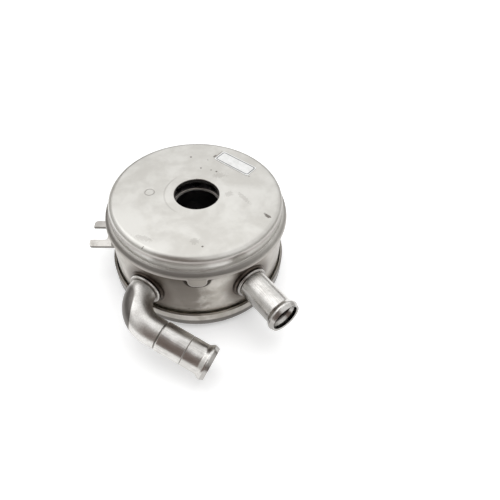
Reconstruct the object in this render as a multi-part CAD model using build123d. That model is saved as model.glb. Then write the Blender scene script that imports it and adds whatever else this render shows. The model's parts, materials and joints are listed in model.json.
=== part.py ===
from build123d import *
import math
import os

# Engine oil cooler: a brazed stack of dished plates in a round coolant jacket.
# Sizes are in millimetres. The origin is on the cooler's axis, in the metal mounting face
# of the base. +Z points along the bolt's axis to the lid. Azimuths are degrees from +X.

# Whole cooler
overall_height = 54.5
bore_radius = 12.2
braze_gap = 0.05
same_place = 1e-4

# Lid
lid_sheet = 1.2
lid_edge_radius = 3.0
lid_wall_height = 8.6
hole_collar_depth = 2.6
hole_edge_radius = 0.5
crease_radius = 0.5
skirt_radius = 50.0
skirt_shoulder_radius = 2.2
skirt_ledge_width = 0.1
skirt_height = 3.4
lip_height = 0.9
lip_flare = 0.35
tab_azimuth = -92.4
tab_width = 9.8
tab_drop = 5.6
tab_corner_radius = 3.4
tab_root_radius = 2.0

# Coolant jacket
shell_sheet = 1.2
shell_top_chamfer = 0.7
groove_width = 1.0
groove_depth = 3.4
foot_slope_height = 1.2
foot_flat_height = 2.3
foot_radius = 1.5
neck_wall = 1.6
neck_flare = 0.6
neck_length = 0.65

# Base
base_sheet = 1.2
base_corner_radius = 5.0
channel_land = 2.0
channel_width = 5.0
channel_depth = 2.5
seal_clearance = 0.2
seal_proud = 0.5
seal_edge_radius = 0.8

# Centre tube, header plate and the ring that carries the bolt's load past the oil chamber
tube_wall = 2.0
chamber_height = 6.9
header_sheet = 1.0
header_rim_clearance = 0.5
header_corner_radius = 2.0
spacer_width = 3.0
window_count = 8
window_radius = 2.2
spacer_chamfer = 0.4

# Core of dished plates
pair_count = 5
core_sheet = 0.8
coolant_share = 0.457
jacket_gap = 3.55
core_lip_width = 2.6
core_wall_run = 1.4
port_share = 0.46
port_circle_share = 0.47
boss_slope_run = 1.2
boss_land = 1.6
inlet_azimuth = 90.0
outlet_azimuth = -90.0

# Corrugated fin inside each pair
fin_sheet = 0.45
fin_pitch = 8.0
fin_crest_width = 2.4
fin_edge_clearance = 0.6

# Hose pipes
pipe_radius = 8.0
pipe_wall = 1.0
pipe_inset = 2.35
root_bead_rise = 1.2
root_bead_width = 1.8
root_bead_rounding = 0.8
end_bead_rise = 1.55
end_bead_length = 5.2
end_bead_setback = 2.65
end_bead_rounding = 1.8
end_lip_rise = 0.5
straight_azimuth = -58.5
straight_length = 29.4
straight_rise = 1.15

# Elbow
elbow_azimuth = -125.9
elbow_rise = -1.3
elbow_tube_step = 0.3
elbow_root_straight = 0.05
elbow_bend_radius = 15.6
elbow_straight = 5.2
nipple_azimuth = -31.0
nipple_tilt = 13.7
nipple_length = 29.0
nipple_edge_chamfer = 0.4
joint_gap = 0.3
spigot_length = 8.0
spigot_collar = 0.45
spigot_taper = 0.45
scribe_setback = 14.9
scribe_width = 0.6
scribe_depth = 0.25

# Locating fork
fork_azimuth = 175.0
fork_sheet = 1.6
fork_top_height = 22.0
fork_length = 13.95
fork_gap = 10.4
slot_length = 9.5
tine_width = 5.0
fork_root_radius = 1.6
tine_tip_radius = 2.0
fork_flange_height = 8.0
fork_bend_radius = 1.0

# Blank label
label_length = 24.6
label_width = 9.4
label_thickness = 0.2
label_corner_radius = 1.2
label_azimuth = 46.6
label_inset = 10.0

# Heights that follow from those above
crease_height = overall_height - lid_wall_height
skirt_bottom_height = crease_height - skirt_height
header_height = overall_height - lid_sheet - chamber_height
header_rim_height = chamber_height + lid_sheet - lid_edge_radius - header_rim_clearance
shell_top_height = crease_height - lid_sheet - braze_gap
foot_slope_bottom = base_corner_radius + foot_flat_height
groove_bottom = foot_slope_bottom + foot_slope_height
base_rim_height = groove_bottom + groove_depth
wall_middle = (skirt_bottom_height + base_rim_height) / 2
straight_height = wall_middle + straight_rise
elbow_height = wall_middle + elbow_rise

# Radii that follow from those above
lid_wall_radius = skirt_radius - skirt_shoulder_radius - skirt_ledge_width - crease_radius
shell_radius = skirt_radius - lid_sheet - braze_gap
foot_outer_radius = shell_radius + groove_width - braze_gap
base_radius = shell_radius + groove_width + base_sheet
channel_outer = base_radius - base_corner_radius - channel_land
channel_inner = channel_outer - channel_width
tube_radius = bore_radius + tube_wall
tube_seat_radius = tube_radius + braze_gap
header_radius = lid_wall_radius - lid_sheet - braze_gap
label_circle_radius = lid_wall_radius - lid_edge_radius - label_inset

# Core sizes that follow from those above
core_floor = base_sheet
core_ceiling = header_height - header_sheet
core_outer_radius = shell_radius - shell_sheet - jacket_gap
stack_height = core_ceiling - core_floor
coolant_gap = stack_height * coolant_share / (pair_count + 1)
pair_height = stack_height * (1 - coolant_share) / pair_count
oil_gap = pair_height - 2 * core_sheet
field_inner_radius = tube_seat_radius + core_lip_width + core_wall_run
field_outer_radius = core_outer_radius - core_lip_width - core_wall_run
field_width = field_outer_radius - field_inner_radius
port_circle_radius = field_inner_radius + port_circle_share * field_width
boss_height = coolant_gap / 2
port_radius = port_share * field_width / 2
boss_top_radius = port_radius + boss_land
boss_base_radius = boss_top_radius + boss_slope_run

# Pipe and fork sizes that follow from those above
neck_reach = shell_radius + neck_length
neck_radius = pipe_radius + neck_wall
pipe_inner_reach = shell_radius - pipe_inset
straight_reach = shell_radius + straight_length
elbow_tube_radius = pipe_radius - elbow_tube_step
fork_reach = shell_radius + fork_length


def polar(radius, azimuth, height=0.0):
    """A point given by its distance from the axis, its azimuth and its height."""
    angle = math.radians(azimuth)
    return Vector(radius * math.cos(angle), radius * math.sin(angle), height)


def heading(azimuth, tilt=0.0):
    """A unit direction that points to an azimuth and `tilt` degrees below level."""
    level = math.cos(math.radians(tilt))
    return polar(level, azimuth, -math.sin(math.radians(tilt)))


def along(origin, direction):
    """A working plane whose Z runs from `origin` along `direction`."""
    return Plane(origin=origin, x_dir=Vector(0, 0, 1).cross(direction), z_dir=direction)


def turned_sheet(points, radii, sheet, side):
    """Sheet of one thickness, turned about Z. The (radius, height) points run along one face."""
    face_line = FilletPolyline(*points, radius=radii)
    outline = offset(face_line, amount=sheet, kind=Kind.INTERSECTION, side=side)
    return revolve(Plane.XZ * make_face(outline), Axis.Z)


def disc(radius, bottom, top):
    """A solid round bar about Z."""
    return extrude(Pos(0, 0, bottom) * Circle(radius), amount=top - bottom)


def ring(inner_radius, outer_radius, bottom, top):
    """A plain ring about Z."""
    return disc(outer_radius, bottom, top) - disc(inner_radius, bottom, top)


def frustum(bottom_radius, top_radius, bottom, top):
    """A solid cone about Z, cut off at both ends."""
    body = Cone(bottom_radius, top_radius, top - bottom, align=(Align.CENTER, Align.CENTER, Align.MIN))
    return Pos(0, 0, bottom) * body


def port_place(azimuth):
    """Where an oil port lies in plan."""
    return Pos(polar(port_circle_radius, azimuth))


def port_hole(azimuth, bottom, top):
    """The cutter for an oil port."""
    return port_place(azimuth) * disc(port_radius, bottom, top)


def skirt_tab():
    """The locating tab that hangs from the skirt, rounded below and flared into the skirt."""
    side = tab_width / 2
    band_end = side + 2 * tab_root_radius
    points = [
        (-band_end, lip_height),
        (-band_end, 0),
        (-side, 0),
        (-side, -tab_drop),
        (side, -tab_drop),
        (side, 0),
        (band_end, 0),
        (band_end, lip_height),
    ]
    radii = [0, 0, tab_root_radius, tab_corner_radius, tab_corner_radius, tab_root_radius, 0, 0]
    outline = make_face(FilletPolyline(*points, radius=radii, close=True))
    lip_top = skirt_bottom_height + lip_height
    outward = Plane(polar(0, 0, skirt_bottom_height), heading(tab_azimuth + 90), heading(tab_azimuth))
    slab = extrude(outward * outline, amount=2 * skirt_radius)
    return slab & ring(skirt_radius - lid_sheet, skirt_radius, skirt_bottom_height - tab_drop, lip_top)


def lid():
    """Pressed cap: hole with a turned-down collar, flat top, wall, joggle, skirt and lip."""
    points = [
        (bore_radius, overall_height - hole_collar_depth),
        (bore_radius, overall_height),
        (lid_wall_radius, overall_height),
        (lid_wall_radius, crease_height),
        (skirt_radius, crease_height),
        (skirt_radius, skirt_bottom_height + lip_height),
        (skirt_radius + lip_flare, skirt_bottom_height),
    ]
    radii = [hole_edge_radius, lid_edge_radius, crease_radius, skirt_shoulder_radius, 0]
    return turned_sheet(points, radii, lid_sheet, Side.RIGHT) + skirt_tab()


def shell():
    """Jacket wall with a flared foot and a short tapered neck for each hose pipe."""
    points = [
        (shell_radius, shell_top_height),
        (shell_radius, groove_bottom),
        (foot_outer_radius, foot_slope_bottom),
        (foot_outer_radius, base_corner_radius),
    ]
    wall = turned_sheet(points, [foot_radius, foot_radius], shell_sheet, Side.RIGHT)
    top_edges = wall.edges().group_by(Axis.Z)[-1]
    wall = chamfer(top_edges.sort_by(SortBy.LENGTH)[-1], shell_top_chamfer)
    inside = disc(shell_radius - shell_sheet, 0, overall_height)
    root = disc(neck_radius + neck_flare, 0, shell_radius)
    taper = frustum(neck_radius + neck_flare, neck_radius, shell_radius, neck_reach)
    ports = [
        (straight_azimuth, straight_height, pipe_radius),
        (elbow_azimuth, elbow_height, elbow_tube_radius),
    ]
    for azimuth, height, tube in ports:
        place = along(polar(0, azimuth, height), heading(azimuth))
        neck = place * (root + taper) - inside
        wall = wall + neck - place * disc(tube + braze_gap, 0, neck_reach)
    return wall


def base_dish():
    """Dished base with an upturned rim, a channel for the seal and the oil inlet port."""
    points = [
        (tube_seat_radius, 0),
        (channel_inner, 0),
        (channel_inner, channel_depth),
        (channel_outer, channel_depth),
        (channel_outer, 0),
        (base_radius, 0),
        (base_radius, base_rim_height),
    ]
    dish = turned_sheet(points, [0, 0, 0, 0, base_corner_radius], base_sheet, Side.LEFT)
    return dish - port_hole(inlet_azimuth, -base_sheet, 2 * base_sheet)


def seal_ring():
    """Rubber seal that sits in the base's channel and stands proud of it."""
    width = channel_width - 2 * seal_clearance
    section = Rectangle(width, channel_depth + seal_proud)
    section = fillet(section.vertices().group_by(Axis.Y)[0], seal_edge_radius)
    middle = Pos((channel_inner + channel_outer) / 2, (channel_depth - seal_proud) / 2)
    return revolve(Plane.XZ * middle * section, Axis.Z)


def header_plate():
    """Plate with an upturned rim that closes the jacket below the oil chamber."""
    points = [
        (tube_seat_radius, core_ceiling),
        (header_radius, core_ceiling),
        (header_radius, header_height + header_rim_height),
    ]
    plate = turned_sheet(points, header_corner_radius, header_sheet, Side.LEFT)
    return plate - port_hole(outlet_azimuth, core_ceiling - header_sheet, header_height + header_sheet)


def spacer_ring():
    """Ring between the header plate and the lid, with windows that let the oil through to the bolt."""
    inner = bore_radius + lid_sheet + braze_gap
    outer = inner + spacer_width
    top = overall_height - lid_sheet
    body = ring(inner, outer, header_height, top)
    top_edges = body.edges().group_by(Axis.Z)[-1]
    body = chamfer(top_edges.sort_by(SortBy.LENGTH)[0], spacer_chamfer)
    for index in range(window_count):
        azimuth = index * 360 / window_count
        place = along(polar(0, azimuth, (header_height + top) / 2), heading(azimuth))
        body -= place * disc(window_radius, 0, 2 * outer)
    return body


def core_plate(open_ports):
    """Upper plate of a pair, with the pair's middle plane at Z = 0 and a raised boss at each port."""
    half_gap = oil_gap / 2
    points = [
        (tube_seat_radius, 0),
        (tube_seat_radius + core_lip_width, 0),
        (field_inner_radius, half_gap),
        (field_outer_radius, half_gap),
        (core_outer_radius - core_lip_width, 0),
        (core_outer_radius, 0),
    ]
    plate = turned_sheet(points, 0, core_sheet, Side.LEFT)
    for azimuth in (inlet_azimuth, outlet_azimuth):
        place = port_place(azimuth)
        boss = frustum(boss_base_radius, boss_top_radius, half_gap, half_gap + core_sheet + boss_height)
        hollow = frustum(
            boss_base_radius - core_sheet,
            boss_top_radius - core_sheet,
            half_gap,
            half_gap + boss_height,
        )
        plate = plate + place * boss - place * hollow
    for azimuth in open_ports:
        plate -= port_hole(azimuth, 0, pair_height + boss_height)
    return plate


def turbulator():
    """Corrugated fin that fills a pair's oil passage, cut clear of the ports."""
    half_gap = oil_gap / 2
    rise = oil_gap - fin_sheet
    slope_run = fin_pitch / 2 - fin_crest_width
    wave_count = math.ceil(field_outer_radius / fin_pitch)
    lower = []
    for wave in range(-wave_count, wave_count):
        start = wave * fin_pitch
        lower.append((start, -half_gap))
        lower.append((start + fin_crest_width, -half_gap))
        lower.append((start + fin_crest_width + slope_run, -half_gap + rise))
        lower.append((start + 2 * fin_crest_width + slope_run, -half_gap + rise))
    upper = [(x, z + fin_sheet) for x, z in reversed(lower)]
    profile = Plane.XZ * make_face(Polyline(*lower, *upper, close=True))
    sheet = extrude(profile, amount=field_outer_radius, both=True)
    inner = field_inner_radius + fin_edge_clearance
    outer = field_outer_radius - fin_edge_clearance
    sheet &= ring(inner, outer, -half_gap, half_gap)
    for azimuth in (inlet_azimuth, outlet_azimuth):
        sheet -= port_place(azimuth) * disc(boss_base_radius, -oil_gap, oil_gap)
    return sheet


def pair_level(index):
    """Height of the middle plane of a pair, counted from the base."""
    return core_floor + (index + 1) * coolant_gap + (index + 0.5) * pair_height


def core():
    """The plates and fins of the core, each in its own place."""
    pieces = {}
    both = (inlet_azimuth, outlet_azimuth)
    fin = turbulator()
    for index in range(pair_count):
        place = Pos(0, 0, pair_level(index))
        lower_ports = (inlet_azimuth,) if index == 0 else both
        upper_ports = (outlet_azimuth,) if index == pair_count - 1 else both
        number = index + 1
        pieces[f"core_plate_lower_{number}"] = place * mirror(core_plate(lower_ports), about=Plane.XY)
        pieces[f"core_plate_upper_{number}"] = place * core_plate(upper_ports)
        pieces[f"turbulator_{number}"] = place * fin
    return pieces


def port_rings():
    """Rings that carry the port bosses on the base and below the header plate."""
    pieces = {}
    levels = {"lower": core_floor, "upper": core_ceiling - boss_height}
    azimuths = {"inlet": inlet_azimuth, "outlet": outlet_azimuth}
    for level_name, bottom in levels.items():
        for port_name, azimuth in azimuths.items():
            body = ring(port_radius, boss_top_radius, bottom, bottom + boss_height)
            pieces[f"port_ring_{level_name}_{port_name}"] = port_place(azimuth) * body
    return pieces


def root_bead(tube):
    """Bead that seats on a neck's flat face, about the pipe's own axis."""
    middle = tube - pipe_wall / 2
    outer = pipe_radius + root_bead_rise
    section = Pos((middle + outer) / 2, root_bead_width / 2) * Rectangle(outer - middle, root_bead_width)
    section = fillet(section.vertices().group_by(Axis.X)[-1], root_bead_rounding)
    return Pos(0, 0, neck_reach) * revolve(Plane.XZ * section, Axis.Z)


def hose_end(start, end):
    """Plain tube from `start` to `end` along Z, with a rolled bead that keeps the hose on."""
    points = [
        (pipe_radius, start),
        (pipe_radius, end - end_bead_length),
        (pipe_radius + end_bead_rise, end - end_bead_setback),
        (pipe_radius + end_lip_rise, end),
    ]
    return turned_sheet(points, end_bead_rounding, pipe_wall, Side.LEFT)


def straight_pipe():
    """Straight hose pipe on the right of the jacket."""
    body = hose_end(pipe_inner_reach, straight_reach) + root_bead(pipe_radius)
    return along(polar(0, 0, straight_height), heading(straight_azimuth)) * body


def elbow_tangent():
    """Distance from the elbow's corner to each end of its bend."""
    turn = heading(elbow_azimuth).get_angle(heading(nipple_azimuth, nipple_tilt))
    return elbow_bend_radius * math.tan(math.radians(turn / 2))


def elbow_corner():
    """The point where the elbow's two centre lines would meet."""
    bend_start = neck_reach + root_bead_width + elbow_root_straight
    return polar(bend_start + elbow_tangent(), elbow_azimuth, elbow_height)


def elbow_joint():
    """The plane where the elbow's full-size tube ends and its nipple starts."""
    direction = heading(nipple_azimuth, nipple_tilt)
    return along(elbow_corner() + direction * (elbow_tangent() + elbow_straight), direction)


def elbow_pipe():
    """Elbow with a root bead, bent in a plane that tilts down, necked to a spigot at its end."""
    root = along(polar(0, 0, elbow_height), heading(elbow_azimuth))
    joint = elbow_joint()
    start = polar(pipe_inner_reach, elbow_azimuth, elbow_height)
    end = joint.origin - joint.z_dir * (spigot_collar + spigot_taper)
    path = FilletPolyline(start, elbow_corner(), end, radius=elbow_bend_radius)
    section = Circle(elbow_tube_radius) - Circle(elbow_tube_radius - pipe_wall)
    bend = sweep(along(start, heading(elbow_azimuth)) * section, path)
    spigot_radius = pipe_radius - pipe_wall - braze_gap
    points = [
        (elbow_tube_radius, -spigot_collar - spigot_taper),
        (elbow_tube_radius, -spigot_taper),
        (spigot_radius, 0),
        (spigot_radius, spigot_length),
    ]
    spigot = turned_sheet(points, 0, pipe_wall, Side.LEFT)
    return bend + root * root_bead(elbow_tube_radius) + joint * spigot


def elbow_nipple():
    """Hose nipple pushed over the elbow's spigot, with a scribed ring that marks the hose's place."""
    body = hose_end(joint_gap, nipple_length)
    back_edges = body.edges().group_by(Axis.Z)[0]
    body = chamfer(back_edges.sort_by(SortBy.LENGTH)[-1], nipple_edge_chamfer)
    groove = Polyline(
        (pipe_radius - scribe_depth, scribe_setback),
        (pipe_radius + scribe_depth, scribe_setback - scribe_width),
        (pipe_radius + scribe_depth, scribe_setback + scribe_width),
        close=True,
    )
    body -= revolve(Plane.XZ * make_face(groove), Axis.Z)
    return elbow_joint() * body


def locating_fork():
    """Stamped L bracket: two level tines, and a flange that follows the shell's wall."""
    seat = shell_radius + braze_gap
    width = fork_gap + 2 * tine_width
    outline = Pos(fork_reach / 2, 0) * Rectangle(fork_reach, width)
    blank = fillet(outline.vertices().group_by(Axis.X)[-1], tine_tip_radius)
    slot = Pos(fork_reach, 0) * Rectangle(2 * slot_length, fork_gap)
    slot = fillet(slot.vertices().group_by(Axis.X)[0], fork_root_radius)
    bottom = fork_top_height - fork_sheet
    plate = extrude(Pos(0, 0, bottom) * (blank - slot), amount=fork_sheet)
    top = fork_top_height + fork_flange_height
    wall = ring(seat, seat + fork_sheet, bottom, top)
    wall &= extrude(Pos(0, 0, bottom) * outline, amount=top - bottom)
    bracket = plate - disc(seat, bottom, fork_top_height) + wall
    bend = bracket.edges().filter_by(GeomType.CIRCLE).filter_by(
        lambda edge: abs(edge.center().Z - fork_top_height) < same_place
        and abs(edge.radius - seat - fork_sheet) < same_place
    )
    bracket = fillet(bend, fork_bend_radius)
    return Rot(0, 0, fork_azimuth) * bracket


def blank_label():
    """Plain sticker on the lid, with no lettering."""
    place = Pos(polar(label_circle_radius, label_azimuth, overall_height)) * Rot(0, 0, label_azimuth)
    outline = RectangleRounded(label_width, label_length, label_corner_radius)
    return extrude(place * outline, amount=label_thickness)


parts = {
    "lid": lid(),
    "shell": shell(),
    "base_dish": base_dish(),
    "seal_ring": seal_ring(),
    "centre_tube": ring(bore_radius, tube_radius, 0, header_height),
    "header_plate": header_plate(),
    "spacer_ring": spacer_ring(),
    "straight_pipe": straight_pipe(),
    "elbow_pipe": elbow_pipe(),
    "elbow_nipple": elbow_nipple(),
    "locating_fork": locating_fork(),
    "blank_label": blank_label(),
}
parts.update(core())
parts.update(port_rings())

os.makedirs("parts", exist_ok=True)
for name, part in parts.items():
    export_step(part, f"parts/{name}.step")
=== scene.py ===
import json
import math
import bpy
from mathutils import Matrix, Vector


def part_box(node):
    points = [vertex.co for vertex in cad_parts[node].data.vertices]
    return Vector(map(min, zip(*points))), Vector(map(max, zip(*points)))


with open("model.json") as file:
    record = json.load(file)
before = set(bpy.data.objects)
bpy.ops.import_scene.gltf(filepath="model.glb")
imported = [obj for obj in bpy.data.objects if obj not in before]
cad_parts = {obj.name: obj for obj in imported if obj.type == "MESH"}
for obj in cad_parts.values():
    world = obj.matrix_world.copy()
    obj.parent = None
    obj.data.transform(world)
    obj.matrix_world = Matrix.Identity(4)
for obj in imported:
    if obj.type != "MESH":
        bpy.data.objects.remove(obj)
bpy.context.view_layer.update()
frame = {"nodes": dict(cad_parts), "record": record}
nodes = frame["nodes"]
mounts = {mount["name"]: mount for mount in frame["record"]["mounts"]}

# Lengths are in metres, in the model's own frame: the origin lies on the cooler's axis in its
# mounting face, and +Z points to the lid. Azimuths are degrees from +X.
MM = 0.001
FLOOR_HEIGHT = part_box("seal_ring")[0].z
LID_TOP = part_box("lid")[1].z
CREASE_HEIGHT = LID_TOP - 8.6 * MM
SKIRT_BOTTOM = CREASE_HEIGHT - 3.4 * MM
BASE_RIM_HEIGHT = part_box("base_dish")[1].z
SHELL_RADIUS = 48.75 * MM
NECK_REACH = SHELL_RADIUS + 0.65 * MM
TUBE_START = NECK_REACH + 1.8 * MM
TUBE_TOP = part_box("centre_tube")[1].z
BORE_RADIUS = mounts["lid_hole"]["dims"]["r_mm"] * MM
PIPE_INNER_RADIUS = 7.0 * MM
NECK_RADIUS = 10.4 * MM
BASE_BEND_HEIGHT = 6.7 * MM

# Camera: the photograph's view, fitted to the outlines of the lid, the base and the pipes
CAMERA_PLACE = Vector((0.0, -181.83, 215.42)) * MM
CAMERA_RIGHT = Vector((0.992, -0.1165, 0.0487))
CAMERA_UP = Vector((0.056, 0.7512, 0.6576))
CAMERA_BACK = Vector((-0.1132, -0.6497, 0.7517))
SENSOR_WIDTH = 36.0
FOCAL_LENGTH = 31.68

# Where the hose pipes leave the jacket: azimuth and height
STRAIGHT_ROOT = (-58.5, 28.35 * MM)
ELBOW_ROOT = (-125.9, 25.9 * MM)

# Tab that hangs from the skirt
TAB_AZIMUTH = -92.4
TAB_HALF_WIDTH = 4.9 * MM
TAB_DROP = 5.6 * MM
TAB_CORNER = 3.4 * MM
TAB_FLARE = 2.0 * MM

# Rings pressed into the lid's top
STAMPED_RING_PLACE = (-25.2 * MM, 2.7 * MM, LID_TOP)
STAMPED_RING_RADIUS = 2.5 * MM
SEAT_RING_RADIUS = 17.5 * MM

# Stains, and painted shade, that more than one mask lays on
PALE_GRIME = (0.20, 0.18, 0.16, 1)
BURNT_BROWN_AND_SHADE = (0.07, 0.055, 0.045, 1)

# How far the polishing lines are drawn out along a straight tube and on the bent one
STRAIGHT_LINES = (2400.0, 2400.0, 120.0)
BENT_LINES = (1500.0, 1500.0, 1500.0)

# Dim dome round the stage, with angles in degrees: where it is highest, where it and the side
# opposite are paler, how high its edge stands, how much more in front and less at the back, and
# how softly it ends
FRONT_AZIMUTH = -122.0
RIGHT_AZIMUTH = -12.0
COVE_START = 0.16
COVE_RADIUS = 0.9
COVE_FLOOR_HEIGHT = 0.001
COVE_EDGE = 44.0
COVE_FRONT_RISE = 52.0
COVE_BACK_DROP = 16.0
COVE_SOFTNESS = 26.0
COVE_SIDES = 96
COVE_LEVELS = 12
COVE_LEVEL_ANGLE = 7.0

# Pale floor: half its width, its own glow to the eye, and where it fades to white
FLOOR_HALF_WIDTH = 3.0
FLOOR_GLOW = 0.36
FLOOR_FADE_START = 0.35
FLOOR_FADE_END = 1.2

# How bright the white room is to mirrors, and to everything that it lights
ROOM_SEEN = 1.0
ROOM_LIGHT = 0.6

# Lamps: name, place, width, depth, power, and whether reflections show it
LAMP_TARGET = (0.0, 0.0, 0.03)
LAMPS = (
    ("overhead_lamp", (0.12, 0.05, 1.0), 0.8, 0.8, 1.8, False),
    ("overhead_sheen", (0.12, 0.05, 1.0), 0.8, 0.8, 2.6, True),
    ("rear_panel", (-0.2, 0.7, 1.3), 1.2, 1.2, 1.3, True),
    ("left_panel", (-0.73, 0.34, 1.15), 1.1, 0.6, 1.0, True),
)

# Label on the lid
LABEL_AZIMUTH = 46.6
LABEL_LENGTH = 24.6 * MM
LABEL_WIDTH = 9.4 * MM
LABEL_CORNER = 1.2 * MM
BORDER_INSET = 0.85 * MM


def polar(radius, azimuth, height):
    """A point given by its distance from the axis, its azimuth and its height."""
    angle = math.radians(azimuth)
    return Vector((radius * math.cos(angle), radius * math.sin(angle), height))


def frame_angles(direction):
    """Euler angles of a frame whose Z runs along `direction`."""
    return tuple(Vector(direction).to_track_quat("Z", "Y").to_euler())


class Graph:
    """A node tree, with one short method for each kind of node that the finishes use."""

    def __init__(self, tree):
        self.tree = tree

    def put(self, kind, sockets=None, **settings):
        """Adds a node, sets its properties, and fills or links its input sockets."""
        node = self.tree.nodes.new(kind)
        for name, value in settings.items():
            setattr(node, name, value)
        for name, value in (sockets or {}).items():
            self.feed(node.inputs[name], value)
        return node

    def feed(self, socket, value):
        """Links an output to a socket, or sets the socket's own value."""
        if isinstance(value, bpy.types.NodeSocket):
            self.tree.links.new(value, socket)
        else:
            socket.default_value = value

    def math(self, operation, first, second=0.0):
        return self.put("ShaderNodeMath", {0: first, 1: second}, operation=operation).outputs[0]

    def vector(self, operation, first, second=(0.0, 0.0, 0.0)):
        node = self.put("ShaderNodeVectorMath", {0: first, 1: second}, operation=operation)
        single = operation in ("LENGTH", "DISTANCE", "DOT_PRODUCT")
        return node.outputs["Value" if single else "Vector"]

    def ramp(self, value, low, high, to_low=0.0, to_high=1.0):
        """Smooth step of `value` from `low` to `high`, put out between `to_low` and `to_high`."""
        node = self.put(
            "ShaderNodeMapRange",
            {"Value": value, "From Min": low, "From Max": high, "To Min": to_low, "To Max": to_high},
            interpolation_type="SMOOTHSTEP",
        )
        return node.outputs["Result"]

    def noise(self, vector, scale, detail=3.0, roughness=0.55, distortion=0.0):
        node = self.put(
            "ShaderNodeTexNoise",
            {
                "Vector": vector,
                "Scale": scale,
                "Detail": detail,
                "Roughness": roughness,
                "Distortion": distortion,
            },
        )
        return node.outputs["Fac"]

    def mix(self, factor, first, second, blend="MIX"):
        """Mixes two colours."""
        node = self.put("ShaderNodeMix", data_type="RGBA", blend_type=blend)
        self.feed(node.inputs["Factor"], factor)
        self.feed(node.inputs["A"], first)
        self.feed(node.inputs["B"], second)
        return node.outputs["Result"]

    def tint_by_mask(self, colour, mask, strength, tint):
        """Tints a colour by a mask that counts for `strength`."""
        return self.mix(self.math("MULTIPLY", mask, strength), colour, tint)

    def sweep(self, angle, low, high, to_low=0.0, to_high=1.0):
        """Smooth step of an angle between two azimuths in degrees."""
        return self.ramp(angle, math.radians(low), math.radians(high), to_low, to_high)

    def upward(self):
        """Height part of the surface's own direction: 1 where it faces up, 0 on a wall."""
        facing = self.put("ShaderNodeNewGeometry").outputs["Normal"]
        return self.put("ShaderNodeSeparateXYZ", {"Vector": facing}).outputs["Z"]

    def band(self, value, middle, half_width, softness):
        """1 where `value` is within `half_width` of `middle`, fading over `softness`."""
        distance = self.math("ABSOLUTE", self.math("SUBTRACT", value, middle))
        return self.ramp(distance, half_width, half_width + softness, 1.0, 0.0)

    def both(self, first, second):
        """Product of two masks."""
        return self.math("MULTIPLY", first, second)

    def rounded_distance(self, place, half_x, half_y, corner):
        """Distance outside a rectangle with rounded corners about the origin, negative inside."""
        core = (half_x - corner, half_y - corner, 1.0)
        beyond = self.vector("SUBTRACT", self.vector("ABSOLUTE", place), core)
        outside = self.vector("MULTIPLY", self.vector("MAXIMUM", beyond), (1.0, 1.0, 0.0))
        split = self.put("ShaderNodeSeparateXYZ", {"Vector": beyond}).outputs
        within = self.math("MINIMUM", self.math("MAXIMUM", split["X"], split["Y"]), 0.0)
        return self.math("SUBTRACT", self.math("ADD", self.vector("LENGTH", outside), within), corner)

    def bump(self, height, distance, below=None):
        """Raises the surface by `height` times `distance`, over the bump already there."""
        sockets = {"Strength": 1.0, "Distance": distance, "Height": height}
        if below is not None:
            sockets["Normal"] = below
        return self.put("ShaderNodeBump", sockets).outputs["Normal"]


def empty_graph(owner):
    """The graph of a material or a world, with no node in it yet."""
    owner.use_nodes = True
    owner.node_tree.nodes.clear()
    return Graph(owner.node_tree)


def new_group(name, inputs, outputs):
    """An empty shader node group with its sockets, and the graph that fills it."""
    group = bpy.data.node_groups.new(name, "ShaderNodeTree")
    for socket_name, kind, default in inputs:
        socket = group.interface.new_socket(socket_name, in_out="INPUT", socket_type=kind)
        if default is not None:
            socket.default_value = default
    for socket_name, kind in outputs:
        group.interface.new_socket(socket_name, in_out="OUTPUT", socket_type=kind)
    graph = Graph(group)
    entry = graph.put("NodeGroupInput")
    leave = graph.put("NodeGroupOutput")
    return group, graph, entry.outputs, leave.inputs


def axis_group():
    """A point's place about an axis: distance from it, way along it, and angle round it."""
    group, graph, entry, leave = new_group(
        "place_about_axis",
        [("Origin", "NodeSocketVector", None), ("Angles", "NodeSocketVector", None)],
        [
            ("Local", "NodeSocketVector"),
            ("Radius", "NodeSocketFloat"),
            ("Along", "NodeSocketFloat"),
            ("Turn", "NodeSocketFloat"),
        ],
    )
    position = graph.put("ShaderNodeTexCoord").outputs["Object"]
    local = graph.put(
        "ShaderNodeMapping",
        {"Vector": position, "Location": entry["Origin"], "Rotation": entry["Angles"]},
        vector_type="TEXTURE",
    ).outputs[0]
    split = graph.put("ShaderNodeSeparateXYZ", {"Vector": local}).outputs
    flat = graph.vector("MULTIPLY", local, (1.0, 1.0, 0.0))
    graph.feed(leave["Local"], local)
    graph.feed(leave["Radius"], graph.vector("LENGTH", flat))
    graph.feed(leave["Along"], split["Z"])
    graph.feed(leave["Turn"], graph.math("ARCTAN2", split["Y"], split["X"]))
    return group


def cloud_group():
    """Slow changes of tone, as on rolled sheet that has been handled and heated in brazing."""
    group, graph, entry, leave = new_group(
        "sheet_cloud",
        [
            ("Vector", "NodeSocketVector", None),
            ("Patch Size", "NodeSocketFloat", 0.02),
            ("Contrast", "NodeSocketFloat", 0.1),
        ],
        [("Tone", "NodeSocketFloat"), ("Patch", "NodeSocketFloat")],
    )
    scale = graph.math("DIVIDE", 1.0, entry["Patch Size"])
    broad = graph.noise(entry["Vector"], scale, 3.0, 0.5, 0.6)
    fine = graph.noise(entry["Vector"], graph.math("MULTIPLY", scale, 4.3), 4.0, 0.6, 0.3)
    patch = graph.ramp(graph.math("ADD", graph.math("MULTIPLY", fine, 0.35), broad), 0.45, 0.9)
    low = graph.math("SUBTRACT", 1.0, entry["Contrast"])
    high = graph.math("ADD", 1.0, graph.math("MULTIPLY", entry["Contrast"], 0.4))
    graph.feed(leave["Tone"], graph.ramp(patch, 0.0, 1.0, low, high))
    graph.feed(leave["Patch"], patch)
    return group


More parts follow.
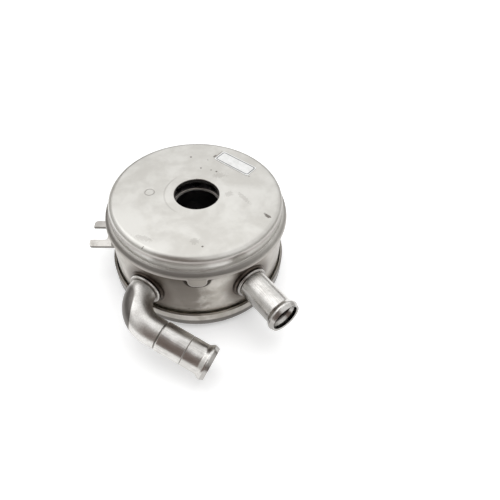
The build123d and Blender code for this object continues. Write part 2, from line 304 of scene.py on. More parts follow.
def brushed_group():
    """Fine parallel lines left by rolling or polishing. The stretch sets which way they run."""
    group, graph, entry, leave = new_group(
        "brush_lines",
        [
            ("Vector", "NodeSocketVector", None),
            ("Stretch", "NodeSocketVector", (1.0, 1.0, 1.0)),
            ("Roughness Change", "NodeSocketFloat", 0.06),
            ("Depth", "NodeSocketFloat", 0.02),
        ],
        [("Lines", "NodeSocketFloat"), ("Roughness", "NodeSocketFloat"), ("Normal", "NodeSocketVector")],
    )
    spread = graph.vector("MULTIPLY", entry["Vector"], entry["Stretch"])
    lines = graph.noise(spread, 1.0, 4.0, 0.65)
    offset = graph.math("SUBTRACT", lines, 0.5)
    graph.feed(leave["Lines"], lines)
    graph.feed(leave["Roughness"], graph.math("MULTIPLY", offset, entry["Roughness Change"]))
    graph.feed(leave["Normal"], graph.bump(lines, graph.math("MULTIPLY", entry["Depth"], MM)))
    return group


def fleck_group():
    """Small dark specks of dirt and pits, thinly spread."""
    group, graph, entry, leave = new_group(
        "dirt_flecks",
        [
            ("Vector", "NodeSocketVector", None),
            ("Spacing", "NodeSocketFloat", 0.004),
            ("Amount", "NodeSocketFloat", 0.2),
        ],
        [("Mask", "NodeSocketFloat")],
    )
    scale = graph.math("DIVIDE", 1.0, entry["Spacing"])
    cells = graph.put(
        "ShaderNodeTexVoronoi", {"Vector": entry["Vector"], "Scale": scale, "Randomness": 1.0}
    )
    chosen = graph.put("ShaderNodeSeparateColor", {"Color": cells.outputs["Color"]})
    keep = graph.math("LESS_THAN", chosen.outputs["Red"], entry["Amount"])
    size = graph.math("MULTIPLY", chosen.outputs["Green"], 0.09)
    ragged = graph.noise(entry["Vector"], graph.math("MULTIPLY", scale, 6.0), 2.0)
    distance = graph.math("ADD", cells.outputs["Distance"], graph.math("MULTIPLY", ragged, 0.05))
    inside = graph.math("LESS_THAN", distance, graph.math("ADD", size, 0.03))
    graph.feed(leave["Mask"], graph.math("MULTIPLY", keep, inside))
    return group


def scuff_group():
    """One ragged mark: an oval whose edge is broken up by noise. X and Y are in the lid's plane."""
    group, graph, entry, leave = new_group(
        "ragged_mark",
        [
            ("Vector", "NodeSocketVector", None),
            ("Middle", "NodeSocketVector", None),
            ("Heading", "NodeSocketVector", None),
            ("Half Size", "NodeSocketVector", (0.002, 0.001, 1.0)),
            ("Grain", "NodeSocketFloat", 1500.0),
            ("Raggedness", "NodeSocketFloat", 0.6),
        ],
        [("Mask", "NodeSocketFloat")],
    )
    local = graph.put(
        "ShaderNodeMapping",
        {
            "Vector": entry["Vector"],
            "Location": entry["Middle"],
            "Rotation": entry["Heading"],
            "Scale": entry["Half Size"],
        },
        vector_type="TEXTURE",
    ).outputs[0]
    reach = graph.vector("LENGTH", local)
    grain = graph.math("SUBTRACT", graph.noise(entry["Vector"], entry["Grain"], 3.0, 0.6), 0.5)
    wander = graph.math("MULTIPLY", grain, graph.math("MULTIPLY", entry["Raggedness"], 3.0))
    broken = graph.math("ADD", reach, wander)
    graph.feed(leave["Mask"], graph.ramp(broken, 0.7, 1.1, 1.0, 0.0))
    return group


def skirt_edge_group():
    """Distance below the edge of the skirt and its tab, negative on them."""
    group, graph, entry, leave = new_group(
        "skirt_edge",
        [("Turn", "NodeSocketFloat", 0.0), ("Height", "NodeSocketFloat", 0.0)],
        [("Distance", "NodeSocketFloat"), ("Near Tab", "NodeSocketFloat")],
    )
    turn = graph.math("SUBTRACT", entry["Turn"], math.radians(TAB_AZIMUTH))
    across = graph.math("MULTIPLY", turn, SHELL_RADIUS)
    below = graph.math("SUBTRACT", SKIRT_BOTTOM, entry["Height"])
    reach = 10 * TAB_DROP
    down = graph.math("ADD", below, reach - TAB_DROP)
    place = graph.put("ShaderNodeCombineXYZ", {"X": across, "Y": down}).outputs[0]
    tab = graph.rounded_distance(place, TAB_HALF_WIDTH, reach, TAB_CORNER)
    joined = graph.put("ShaderNodeMath", {0: tab, 1: below, 2: TAB_FLARE}, operation="SMOOTH_MIN").outputs[0]
    graph.feed(leave["Distance"], joined)
    graph.feed(leave["Near Tab"], graph.ramp(graph.math("ABSOLUTE", across), 8.0 * MM, 12.0 * MM, 1.0, 0.0))
    return group


place_about_axis = axis_group()
sheet_cloud = cloud_group()
brush_lines = brushed_group()
dirt_flecks = fleck_group()
ragged_mark = scuff_group()
skirt_edge = skirt_edge_group()


class Finish:
    """A material with a Principled shader, and the cooler's coordinates at hand."""

    def __init__(self, name):
        self.material = bpy.data.materials.new(name)
        self.graph = empty_graph(self.material)
        self.shader = self.graph.put("ShaderNodeBsdfPrincipled")
        self.graph.put("ShaderNodeOutputMaterial", {"Surface": self.shader.outputs["BSDF"]})
        place = self.use(place_about_axis)
        self.position = place["Local"]
        self.radius = place["Radius"]
        self.height = place["Along"]
        self.azimuth = place["Turn"]

    def use(self, group, **sockets):
        """Places a shared node group. Spaces in socket names are written as underscores."""
        node = self.graph.put("ShaderNodeGroup", node_tree=group)
        for name, value in sockets.items():
            self.graph.feed(node.inputs[name.replace("_", " ")], value)
        return node.outputs

    def set(self, **sockets):
        """Fills the shader's sockets."""
        for name, value in sockets.items():
            self.graph.feed(self.shader.inputs[name.replace("_", " ")], value)

    def sheet(self, patch_size, contrast, darker, bright):
        """Clouded steel between two colours, and the patches that it follows."""
        cloud = self.use(sheet_cloud, Vector=self.position, Patch_Size=patch_size, Contrast=contrast)
        steel = self.graph.mix(cloud["Patch"], darker, bright)
        return self.graph.mix(1.0, steel, cloud["Tone"], "MULTIPLY"), cloud["Patch"]

    def near(self, point, radius, softness):
        """1 within `radius` of a point, fading over `softness`."""
        gap = self.graph.vector("DISTANCE", self.position, tuple(point))
        return self.graph.ramp(gap, radius, radius + softness, 1.0, 0.0)

    def mark(self, x, y, turn, half_length, half_width, grain, raggedness):
        """A ragged mark on the lid's top, placed in millimetres."""
        return self.use(
            ragged_mark,
            Vector=self.position,
            Middle=(x * MM, y * MM, LID_TOP),
            Heading=(0.0, 0.0, math.radians(turn)),
            Half_Size=(half_length * MM, half_width * MM, 2.0 * MM),
            Grain=grain,
            Raggedness=raggedness,
        )["Mask"]


def lid_marks(finish):
    """Pits, stains and scuffs on the lid's top: a mask for the dark ones and one for the faint."""
    graph = finish.graph
    dark = 0.0
    for x, y, radius in (
        (-2.1, 32.3, 0.45),
        (3.3, 21.7, 0.4),
        (9.0, 19.6, 0.3),
        (12.0, 18.0, 0.45),
        (1.4, -38.8, 0.4),
    ):
        pit = finish.near((x * MM, y * MM, LID_TOP), radius * MM, 0.25 * MM)
        dark = graph.math("MAXIMUM", dark, pit)
    scrape = finish.mark(36.1, -19.8, -55.0, 2.6, 1.0, 1400.0, 0.7)
    dark = graph.math("MAXIMUM", dark, graph.math("MULTIPLY", scrape, 0.95))
    nick = finish.mark(-27.5, -37.0, 35.0, 1.0, 0.35, 1800.0, 0.5)
    dark = graph.math("MAXIMUM", dark, graph.math("MULTIPLY", nick, 0.8))
    smudge = finish.mark(12.0, 32.4, 50.0, 1.5, 0.8, 1800.0, 0.6)
    grime = finish.mark(14.2, 33.9, 50.0, 4.6, 0.4, 1800.0, 0.4)
    smudge = graph.math("MAXIMUM", smudge, graph.math("MULTIPLY", grime, 0.6))
    dark = graph.math("MAXIMUM", dark, graph.math("MULTIPLY", smudge, 0.9))
    faint = 0.0
    for x, y, turn, half_length, half_width in (
        (-27.3, -31.1, -25.0, 5.0, 1.6),
        (17.5, -1.5, 20.0, 2.6, 2.0),
        (25.5, -5.5, -60.0, 5.5, 1.3),
        (13.5, 14.5, 10.0, 4.0, 2.2),
        (-2.3, -35.2, 0.0, 2.2, 2.2),
    ):
        scuff = finish.mark(x, y, turn, half_length, half_width, 1100.0, 1.0)
        faint = graph.math("MAXIMUM", faint, scuff)
    return dark, faint


def satin_lid():
    """Satin stainless sheet with cloudy patches, a partly browned, partly painted-shade skirt, stamped
    rings, small marks, and painted shade and highlights at its edges.
    """
    finish = Finish("satin_lid_sheet")
    graph = finish.graph
    steel, patch = finish.sheet(0.022, 0.07, (0.585, 0.57, 0.535, 1), (0.635, 0.625, 0.595, 1))
    lines = finish.use(
        brush_lines,
        Vector=finish.position,
        Stretch=(900.0, 2600.0, 900.0),
        Roughness_Change=0.06,
        Depth=0.0015,
    )
    flecks = finish.use(dirt_flecks, Vector=finish.position, Spacing=0.0075, Amount=0.10)
    # Painted shade: a dark band just below the top's rounded edge, fading out down the side wall.
    rim_edge_shade = graph.ramp(finish.height, LID_TOP - 1.4 * MM, LID_TOP - 2.8 * MM, 0.0, 0.85)
    rim_edge_shade = graph.both(rim_edge_shade, graph.ramp(finish.height, LID_TOP - 3.4 * MM, LID_TOP - 5.0 * MM, 1.0, 0.0))
    steel = graph.mix(rim_edge_shade, steel, (0.38, 0.35, 0.33, 1))
    # Painted highlight: a paler band on the side wall above the crease, strongest at the front and left.
    wall_sheen = graph.band(finish.height, CREASE_HEIGHT + 1.9 * MM, 0.9 * MM, 1.0 * MM)
    fading = graph.sweep(finish.azimuth, -90.0, -60.0, 0.7, 0.3)
    steel = graph.mix(graph.both(wall_sheen, fading), steel, (0.80, 0.78, 0.75, 1))
    # Skirt: darker, partly browned and partly painted shade; paler towards its lower part and its right side
    # as painted light.
    skirt = graph.ramp(finish.height, CREASE_HEIGHT + 0.3 * MM, CREASE_HEIGHT - 0.3 * MM, 0.0, 0.9)
    skirt_lower_light = graph.ramp(finish.height, CREASE_HEIGHT - 1.4 * MM, CREASE_HEIGHT - 2.4 * MM)
    skirt_tone = graph.mix(skirt_lower_light, (0.205, 0.19, 0.175, 1), (0.44, 0.415, 0.385, 1))
    skirt_right_light = graph.sweep(finish.azimuth, -75.0, -35.0, 0.0, 0.45)
    skirt_tone = graph.mix(skirt_right_light, skirt_tone, (0.60, 0.585, 0.55, 1))
    steel = graph.mix(skirt, steel, skirt_tone)
    edge = finish.use(skirt_edge, Turn=finish.azimuth, Height=finish.height)
    # Painted highlight along the skirt's lower edge and round the tab.
    lip_highlight = graph.band(edge["Distance"], -0.35 * MM, 0.2 * MM, 0.35 * MM)
    steel = graph.tint_by_mask(steel, lip_highlight, 0.6, (0.62, 0.59, 0.56, 1))
    tab = graph.ramp(edge["Distance"], -0.8 * MM, -1.4 * MM)
    tab = graph.both(tab, graph.ramp(finish.height, SKIRT_BOTTOM + 0.2 * MM, SKIRT_BOTTOM - 0.2 * MM))
    steel = graph.tint_by_mask(steel, tab, 0.8, (0.50, 0.47, 0.43, 1))
    dark, faint = lid_marks(finish)
    steel = graph.tint_by_mask(steel, faint, 0.24, PALE_GRIME)
    steel = graph.tint_by_mask(steel, dark, 0.8, BURNT_BROWN_AND_SHADE)
    steel = graph.tint_by_mask(steel, flecks["Mask"], 0.5, (0.08, 0.07, 0.06, 1))
    ring_gap = graph.vector("DISTANCE", finish.position, STAMPED_RING_PLACE)
    ring = graph.band(ring_gap, STAMPED_RING_RADIUS, 0.12 * MM, 0.3 * MM)
    seat = graph.band(finish.radius, SEAT_RING_RADIUS, 0.15 * MM, 0.5 * MM)
    arc = graph.sweep(graph.math("ABSOLUTE", finish.azimuth), 118.0, 140.0)
    seat = graph.both(seat, arc)
    on_top = graph.ramp(finish.height, LID_TOP - 0.3 * MM, LID_TOP - 0.1 * MM)
    pressed = graph.both(graph.math("ADD", ring, graph.math("MULTIPLY", seat, 0.5)), on_top)
    steel = graph.tint_by_mask(steel, pressed, 0.4, PALE_GRIME)
    waves = graph.noise(finish.position, 55.0, 2.0, 0.5)
    normal = graph.bump(waves, 0.12 * MM, lines["Normal"])
    normal = graph.bump(pressed, -0.10 * MM, normal)
    rough = graph.math("ADD", graph.ramp(patch, 0.0, 1.0, 0.36, 0.29), lines["Roughness"])
    rough = graph.math("ADD", rough, graph.math("MULTIPLY", skirt, 0.3))
    finish.set(Base_Color=steel, Metallic=1.0, Roughness=rough, Normal=normal)
    return finish.material


def brushed_jacket():
    """Brushed stainless sheet of the shell and the base, browned where it was brazed, with painted shade on
    its front, round the pipe roots, under the skirt and on the base, and painted light in the groove.
    """
    finish = Finish("brushed_jacket_sheet")
    graph = finish.graph
    steel, patch = finish.sheet(0.012, 0.12, (0.46, 0.43, 0.385, 1), (0.54, 0.515, 0.48, 1))
    lines = finish.use(
        brush_lines,
        Vector=finish.position,
        Stretch=(260.0, 260.0, 5200.0),
        Roughness_Change=0.12,
        Depth=0.003,
    )
    flecks = finish.use(dirt_flecks, Vector=finish.position, Spacing=0.004, Amount=0.16)
    drift = graph.math("MULTIPLY", graph.math("SUBTRACT", patch, 0.5), 0.12)
    turn = graph.math("ADD", finish.azimuth, drift)
    # Darker brown on the front of the shell beside both pipes: partly heat tint, partly painted shade.
    left = graph.both(graph.sweep(turn, -141.0, -130.0), graph.sweep(turn, -96.0, -84.0, 1.0, 0.0))
    right = graph.both(graph.sweep(turn, -48.0, -36.0), graph.sweep(turn, -10.0, 20.0, 1.0, 0.0))
    tint_and_shade = graph.math("ADD", left, graph.math("MULTIPLY", right, 0.4))
    above = graph.ramp(finish.height, BASE_RIM_HEIGHT - 1.0 * MM, BASE_RIM_HEIGHT + 6.0 * MM)
    tint_and_shade = graph.math("MULTIPLY", graph.both(tint_and_shade, above), 0.85)
    steel = graph.mix(tint_and_shade, steel, (0.195, 0.172, 0.15, 1))
    # Dark halo round each pipe root, heat tint from brazing and painted shade where the pipes darken the
    # shell; a dark neck ring, heat tint and painted shade between the bead and the shell.
    heat_tint_and_shade = 0.0
    neck = 0.0
    for azimuth, height in (STRAIGHT_ROOT, ELBOW_ROOT):
        halo = finish.near(polar(SHELL_RADIUS, azimuth, height), 10.0 * MM, 8.0 * MM)
        heat_tint_and_shade = graph.math("MAXIMUM", heat_tint_and_shade, halo)
        root = finish.use(
            place_about_axis,
            Origin=(0.0, 0.0, height),
            Angles=frame_angles(polar(1.0, azimuth, 0.0)),
        )
        ring = graph.ramp(root["Radius"], NECK_RADIUS + 0.5 * MM, NECK_RADIUS)
        ring = graph.both(ring, graph.ramp(root["Along"], 0.0, 10.0 * MM))
        neck = graph.math("MAXIMUM", neck, ring)
    ragged = graph.math("ADD", 0.75, graph.math("MULTIPLY", patch, 0.25))
    steel = graph.mix(graph.both(heat_tint_and_shade, ragged), steel, (0.105, 0.083, 0.068, 1))
    steel = graph.tint_by_mask(steel, neck, 0.7, BURNT_BROWN_AND_SHADE)
    # Painted shade on the shell below the lid's skirt.
    under_skirt_shade = graph.ramp(finish.height, SKIRT_BOTTOM - 6.0 * MM, SKIRT_BOTTOM + 0.5 * MM, 0.0, 0.5)
    steel = graph.mix(under_skirt_shade, steel, (0.16, 0.135, 0.11, 1))
    # Painted shadow just below the skirt's edge and its tab, darkest by the tab.
    edge = finish.use(skirt_edge, Turn=finish.azimuth, Height=finish.height)
    edge_shadow = graph.ramp(edge["Distance"], 1.6 * MM, 2.7 * MM, 1.0, 0.0)
    edge_shadow = graph.both(edge_shadow, graph.math("ADD", 0.25, graph.math("MULTIPLY", edge["Near Tab"], 0.7)))
    steel = graph.mix(edge_shadow, steel, (0.035, 0.028, 0.022, 1))
    # Painted light that pales the shaded groove between the shell and the base rim.
    groove_light = graph.band(finish.height, BASE_RIM_HEIGHT - 1.5 * MM, 1.6 * MM, 1.0 * MM)
    inside = graph.ramp(finish.radius, SHELL_RADIUS + 1.3 * MM, SHELL_RADIUS + 1.0 * MM)
    steel = graph.mix(graph.both(groove_light, inside), steel, (0.85, 0.80, 0.71, 1))
    # Painted shade on the base rim's left and right sides.
    aside = graph.math("ABSOLUTE", graph.math("ADD", turn, math.radians(90.0)))
    rim = graph.ramp(finish.radius, SHELL_RADIUS + 0.9 * MM, SHELL_RADIUS + 1.2 * MM)
    rim = graph.both(rim, graph.sweep(aside, 38.0, 50.0, 0.0, 0.75))
    steel = graph.mix(rim, steel, (0.14, 0.13, 0.12, 1))
    # Painted shade on the base's lower curve by the floor.
    base_underside_shade = graph.ramp(finish.height, BASE_BEND_HEIGHT + 1.2 * MM, BASE_BEND_HEIGHT, 0.0, 0.8)
    steel = graph.mix(base_underside_shade, steel, (0.09, 0.083, 0.075, 1))
    steel = graph.tint_by_mask(steel, flecks["Mask"], 0.7, (0.05, 0.04, 0.03, 1))
    rough = graph.math("ADD", 0.33, lines["Roughness"])
    finish.set(Base_Color=steel, Metallic=1.0, Roughness=rough, Normal=lines["Normal"])
    return finish.material


def bright_tube(
    name, origin, direction, stretch, root=None, shade_below=0.0, shade_ahead=0.0, roughness=0.25
):
    """Drawn and polished stainless tube about an axis, with painted shade inside, browned beside its root
    bead, with a painted shade line at the joint.

    `stretch` draws out its polishing lines, and `root` is where it leaves the jacket. `shade_below`
    and `shade_ahead` say how much painted shade lies on its underside and on its rolled end.
    """
    finish = Finish(name)
    graph = finish.graph
    place = finish.use(place_about_axis, Origin=tuple(origin), Angles=frame_angles(direction))
    steel = finish.sheet(0.008, 0.08, (0.69, 0.67, 0.64, 1), (0.78, 0.765, 0.74, 1))[0]
    lines = finish.use(
        brush_lines,
        Vector=place["Local"],
        Stretch=stretch,
        Roughness_Change=0.08,
        Depth=0.0015,
    )
    streaks = graph.ramp(lines["Lines"], 0.38, 0.62, 0.84, 1.0)
    steel = graph.mix(1.0, steel, streaks, "MULTIPLY")
    # Heat tint beside the root bead, with a painted shade line where the tube meets the bead.
    if root is not None:
        azimuth, height = root
        outward = finish.use(place_about_axis, Angles=frame_angles(polar(1.0, azimuth, 0.0)))["Along"]
        browned_and_shaded = graph.ramp(outward, NECK_REACH + 0.3 * MM, NECK_REACH + 1.0 * MM, 0.8, 0.0)
        joint_shade = graph.band(outward, TUBE_START + 0.15 * MM, 0.1 * MM, 0.35 * MM)
        browned_and_shaded = graph.math("MAXIMUM", browned_and_shaded, graph.math("MULTIPLY", joint_shade, 0.7))
        steel = graph.mix(browned_and_shaded, steel, (0.10, 0.08, 0.065, 1))
    # Painted shade on the underside and on the rolled end, by the way each face points.
    facing = graph.put("ShaderNodeNewGeometry").outputs["Normal"]
    forward = graph.vector("DOT_PRODUCT", facing, tuple(direction))
    darker = graph.ramp(graph.upward(), 0.55, 0.25, 0.0, shade_below)
    darker = graph.math("MAXIMUM", darker, graph.ramp(forward, 0.05, 0.5, 0.0, shade_ahead))
    steel = graph.mix(darker, steel, (0.30, 0.285, 0.27, 1))
    # Painted shade inside the bore.
    tint_by_mask = graph.ramp(place["Radius"], PIPE_INNER_RADIUS + 0.6 * MM, PIPE_INNER_RADIUS + 0.2 * MM, 0.0, 0.9)
    steel = graph.mix(tint_by_mask, steel, (0.10, 0.09, 0.082, 1))
    rough = graph.math("ADD", roughness, lines["Roughness"])
    finish.set(Base_Color=steel, Metallic=1.0, Roughness=rough, Normal=lines["Normal"])
    return finish.material


def stamped_bracket():
    """Stamped stainless sheet of the locating fork."""
    finish = Finish("stamped_bracket_sheet")
    graph = finish.graph
    steel = finish.sheet(0.006, 0.12, (0.55, 0.525, 0.49, 1), (0.66, 0.64, 0.61, 1))[0]
    lines = finish.use(
        brush_lines,
        Vector=finish.position,
        Stretch=(600.0, 4200.0, 600.0),
        Roughness_Change=0.10,
        Depth=0.002,
    )
    # Painted shade: the sheet is darker towards the back tine.
    depth = graph.put("ShaderNodeSeparateXYZ", {"Vector": finish.position}).outputs["Y"]
    steel = graph.mix(graph.ramp(depth, 1.0 * MM, 9.0 * MM, 0.0, 0.5), steel, (0.36, 0.345, 0.33, 1))
    sheared = graph.ramp(graph.math("ABSOLUTE", graph.upward()), 0.3, 0.7, 0.75, 0.0)
    steel = graph.mix(sheared, steel, (0.11, 0.10, 0.09, 1))
    rough = graph.math("ADD", 0.34, lines["Roughness"])
    finish.set(Base_Color=steel, Metallic=1.0, Roughness=rough, Normal=lines["Normal"])
    return finish.material


def shaded_core():
    """Steel inside the bore, painted near-black as the bore's shade, with a painted highlight only on the
    tube's top edge.
    """
    finish = Finish("painted_dark_core")
    graph = finish.graph
    cloud = finish.use(sheet_cloud, Vector=finish.position, Patch_Size=0.005, Contrast=0.3)
    lines = finish.use(
        brush_lines,
        Vector=finish.position,
        Stretch=(400.0, 400.0, 3000.0),
        Roughness_Change=0.15,
        Depth=0.006,
    )
    # Painted shade: near-black steel inside the bore.
    dark = graph.mix(cloud["Patch"], (0.018, 0.017, 0.020, 1), (0.05, 0.045, 0.045, 1))
    # Painted highlight on the centre tube's top edge.
    rim = graph.band(finish.height, TUBE_TOP, 0.05 * MM, 0.25 * MM)
    rim = graph.both(rim, graph.ramp(finish.radius, BORE_RADIUS + 2.3 * MM, BORE_RADIUS + 1.8 * MM))
    steel = graph.mix(rim, dark, (0.72, 0.69, 0.65, 1))
    rough = graph.math("ADD", 0.38, lines["Roughness"])
    finish.set(Base_Color=steel, Metallic=0.8, Roughness=rough, Normal=lines["Normal"])
    return finish.material


def seal_rubber():
    """Black moulded rubber with a faint bloom."""
    finish = Finish("seal_rubber")
    graph = finish.graph
    bloom = finish.use(sheet_cloud, Vector=finish.position, Patch_Size=0.006, Contrast=0.4)
    rubber = graph.mix(bloom["Patch"], (0.012, 0.012, 0.012, 1), (0.035, 0.034, 0.033, 1))
    grain = graph.noise(finish.position, 5000.0, 3.0)
    finish.set(Base_Color=rubber, Metallic=0.0, Roughness=0.62, Normal=graph.bump(grain, 0.01 * MM))
    return finish.material


def blank_sticker():
    """White sticker with a thin dark border line, a smudge on one end and nothing inside it."""
    finish = Finish("blank_sticker")
    graph = finish.graph
    low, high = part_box("blank_label")
    centre = (low + high) / 2
    local = graph.put(
        "ShaderNodeMapping",
        {
            "Vector": finish.position,
            "Location": tuple(centre),
            "Rotation": (0.0, 0.0, math.radians(LABEL_AZIMUTH)),
        },
        vector_type="TEXTURE",
    ).outputs[0]
    half_width = LABEL_WIDTH / 2 - BORDER_INSET
    half_length = LABEL_LENGTH / 2 - BORDER_INSET
    border_gap = graph.rounded_distance(local, half_width, half_length, LABEL_CORNER)
    border = graph.band(border_gap, 0.0, 0.2 * MM, 0.12 * MM)
    smear = finish.use(sheet_cloud, Vector=finish.position, Patch_Size=0.004, Contrast=0.2)
    paper = graph.mix(smear["Patch"], (0.74, 0.74, 0.725, 1), (0.86, 0.86, 0.85, 1))
    ink = graph.tint_by_mask(paper, border, 0.9, (0.03, 0.03, 0.035, 1))
    smudge = finish.mark(11.9, 31.6, 20.0, 1.1, 0.7, 1800.0, 0.8)
    ink = graph.tint_by_mask(ink, smudge, 0.85, (0.05, 0.045, 0.04, 1))
    grain = graph.noise(finish.position, 4000.0, 3.0)
    rough = graph.ramp(smear["Patch"], 0.0, 1.0, 0.5, 0.38)
    finish.set(Base_Color=ink, Metallic=0.0, Roughness=rough, Normal=graph.bump(grain, 0.004 * MM))
    return finish.material


def dress(material, *names):
    """Gives CAD nodes a finish in their own material slots."""
    for name in names:
        for index in range(len(nodes[name].material_slots)):
            nodes[name].material_slots[index].material = material


def white_to_the_eye(graph, seen, lit):
    """Shows `seen` to the camera, mirrors and glass, and `lit` to everything else."""
    path = graph.put("ShaderNodeLightPath").outputs
    eye = graph.math("MAXIMUM", path["Is Camera Ray"], path["Is Glossy Ray"])
    eye = graph.math("MAXIMUM", eye, path["Is Transmission Ray"])
    return graph.put("ShaderNodeMixShader", {0: eye, 1: lit, 2: seen}).outputs[0]


def new_piece(name, points, faces, material):
    """An object made of points and faces, with its material."""
    mesh = bpy.data.meshes.new(name)
    mesh.from_pydata(points, [], faces)
    mesh.materials.append(material)
    piece = bpy.data.objects.new(name, mesh)
    bpy.context.collection.objects.link(piece)
    return piece


def floor():
    """A plain pale floor that keeps the cooler's shadow and turns white far from it."""
    material = bpy.data.materials.new("pale_floor")
    graph = empty_graph(material)
    pale = graph.put("ShaderNodeBsdfDiffuse", {"Color": (0.88, 0.88, 0.88, 1)})
    glow = graph.put("ShaderNodeEmission", {"Color": (1, 1, 1, 1), "Strength": FLOOR_GLOW})
    lifted = graph.put("ShaderNodeAddShader", {0: pale.outputs[0], 1: glow.outputs[0]})
    white = graph.put("ShaderNodeEmission", {"Color": (1, 1, 1, 1), "Strength": 1.0})
    distance = graph.put("ShaderNodeGroup", node_tree=place_about_axis).outputs["Radius"]
    far = graph.ramp(distance, FLOOR_FADE_START, FLOOR_FADE_END)
    shown = graph.put("ShaderNodeMixShader", {0: far, 1: lifted.outputs[0], 2: white.outputs[0]})
    surface = white_to_the_eye(graph, shown.outputs[0], pale.outputs[0])
    graph.put("ShaderNodeOutputMaterial", {"Surface": surface})
    half = FLOOR_HALF_WIDTH
    corners = [(x, y, FLOOR_HEIGHT) for x, y in ((-half, -half), (half, -half), (half, half), (-half, half))]
    piece = new_piece("floor", corners, [(0, 1, 2, 3)], material)


def surroundings():
    """A white room to the camera and to mirrors, and a plain soft level for the rest."""
    world = bpy.data.worlds.new("studio")
    bpy.context.scene.world = world
    graph = empty_graph(world)
    seen = graph.put("ShaderNodeBackground", {"Color": (1, 1, 1, 1), "Strength": ROOM_SEEN})
    lit = graph.put("ShaderNodeBackground", {"Color": (1, 1, 1, 1), "Strength": ROOM_LIGHT})
    surface = white_to_the_eye(graph, seen.outputs[0], lit.outputs[0])
    graph.put("ShaderNodeOutputWorld", {"Surface": surface})


def softbox(name, place, width, depth, power, mirrored):
    """A soft rectangular lamp that points at the cooler. Reflections show it if it is `mirrored`."""
    lamp = bpy.data.lights.new(name, "AREA")
    lamp.shape = "RECTANGLE"
    lamp.size = width
    lamp.size_y = depth
    lamp.energy = power
    piece = bpy.data.objects.new(name, lamp)
    piece.location = place
    piece.rotation_euler = (Vector(LAMP_TARGET) - Vector(place)).to_track_quat("-Z", "Y").to_euler()
    piece.visible_glossy = mirrored
    bpy.context.collection.objects.link(piece)


def cove_form():
    """Points and faces of a dome on a wide flat ring."""
    profile = [(COVE_START, COVE_FLOOR_HEIGHT), (COVE_RADIUS, COVE_FLOOR_HEIGHT)]
    for level in range(1, COVE_LEVELS + 1):
        rise = math.radians(COVE_LEVEL_ANGLE * level)
        profile.append((COVE_RADIUS * math.cos(rise), COVE_RADIUS * math.sin(rise)))
    points = []
    faces = []
    for side in range(COVE_SIDES):
        points += [polar(radius, 360.0 * side / COVE_SIDES, height) for radius, height in profile]
        first = side * len(profile)
        second = (side + 1) % COVE_SIDES * len(profile)
        for index in range(len(profile) - 1):
            faces.append((first + index, first + index + 1, second + index + 1, second + index))
    return points, faces


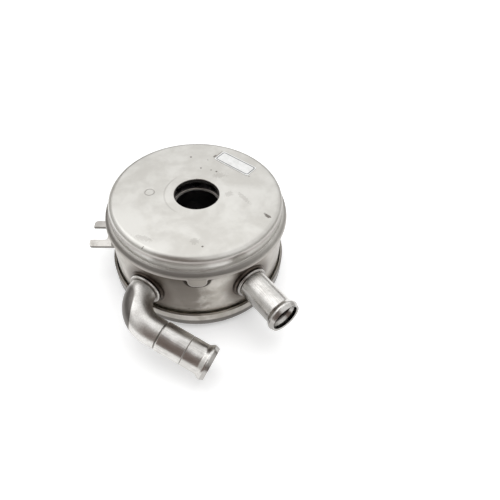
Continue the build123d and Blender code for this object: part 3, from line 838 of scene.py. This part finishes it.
def cove_tone():
    """Dim material of the dome, brown in front and paler at both sides, that fades out at its edges."""
    material = bpy.data.materials.new("dark_cove")
    graph = empty_graph(material)
    place = graph.put("ShaderNodeGroup", node_tree=place_about_axis).outputs
    ahead = graph.math("COSINE", graph.math("SUBTRACT", place["Turn"], math.radians(FRONT_AZIMUTH)))
    front = graph.ramp(ahead, 0.86, 0.93, 0.0, math.radians(COVE_FRONT_RISE))
    back = graph.ramp(ahead, -0.55, -0.9, 0.0, math.radians(-COVE_BACK_DROP))
    edge = graph.math("ADD", math.radians(COVE_EDGE), graph.math("ADD", front, back))
    rise = graph.math("ARCTAN2", place["Along"], place["Radius"])
    below = graph.ramp(graph.math("SUBTRACT", rise, edge), math.radians(-COVE_SOFTNESS), 0.0, 1.0, 0.0)
    outer = graph.ramp(place["Radius"], COVE_START, 0.7 * COVE_RADIUS)
    on_floor = graph.math("LESS_THAN", place["Along"], 2 * COVE_FLOOR_HEIGHT)
    solid = graph.both(below, graph.math("MAXIMUM", outer, graph.math("SUBTRACT", 1.0, on_floor)))
    clear = graph.put("ShaderNodeBsdfTransparent").outputs[0]
    aside = graph.math("COSINE", graph.math("SUBTRACT", place["Turn"], math.radians(RIGHT_AZIMUTH)))
    aside = graph.math("ABSOLUTE", aside)
    tone = graph.mix(graph.ramp(ahead, 0.3, 0.9), (0.31, 0.30, 0.285, 1), (0.25, 0.20, 0.18, 1))
    tone = graph.mix(graph.ramp(aside, 0.4, 0.8), tone, (0.70, 0.69, 0.67, 1))
    dim = graph.put("ShaderNodeBsdfDiffuse", {"Color": tone}).outputs[0]
    surface = graph.put("ShaderNodeMixShader", {0: solid, 1: clear, 2: dim}).outputs[0]
    graph.put("ShaderNodeOutputMaterial", {"Surface": surface})
    return material


def dark_cove():
    """A dim dome round the stage, high in front, low at the back, that only reflections show."""
    points, faces = cove_form()
    piece = new_piece("dark_cove", points, faces, cove_tone())
    piece.visible_camera = False
    piece.visible_diffuse = False
    piece.visible_shadow = False


def photographer_camera():
    """The photograph's viewpoint and angle of view."""
    camera = bpy.data.cameras.new("camera")
    camera.sensor_width = SENSOR_WIDTH
    camera.lens = FOCAL_LENGTH
    camera.clip_start = 0.01
    camera.clip_end = 20.0
    piece = bpy.data.objects.new("camera", camera)
    rotation = Matrix((CAMERA_RIGHT, CAMERA_UP, CAMERA_BACK)).transposed().to_4x4()
    piece.matrix_world = Matrix.Translation(CAMERA_PLACE) @ rotation
    bpy.context.collection.objects.link(piece)
    bpy.context.scene.camera = piece


photographer_camera()
floor()
surroundings()
for lamp in LAMPS:
    softbox(*lamp)
dark_cove()

dress(satin_lid(), "lid")
dress(brushed_jacket(), "shell", "base_dish")
straight = mounts["straight_hose_nipple"]
nipple = mounts["elbow_hose_nipple"]
dress(
    bright_tube(
        "bright_straight_tube",
        straight["pos_m"],
        straight["axis"],
        STRAIGHT_LINES,
        STRAIGHT_ROOT,
        shade_below=0.75,
        shade_ahead=0.55,
    ),
    "straight_pipe",
)
dress(
    bright_tube("bright_nipple_tube", nipple["pos_m"], nipple["axis"], STRAIGHT_LINES, shade_ahead=0.75),
    "elbow_nipple",
)
dress(
    bright_tube(
        "bright_elbow_tube",
        polar(0.0, 0.0, ELBOW_ROOT[1]),
        polar(1.0, ELBOW_ROOT[0], 0.0),
        BENT_LINES,
        ELBOW_ROOT,
        roughness=0.32,
    ),
    "elbow_pipe",
)
dress(stamped_bracket(), "locating_fork")
shaded = shaded_core()
for name in nodes:
    if name.startswith(("core_plate", "turbulator", "port_ring")):
        dress(shaded, name)
dress(shaded, "centre_tube", "header_plate", "spacer_ring")
dress(seal_rubber(), "seal_ring")
dress(blank_sticker(), "blank_label")

bpy.context.scene.view_settings.view_transform = "Standard"
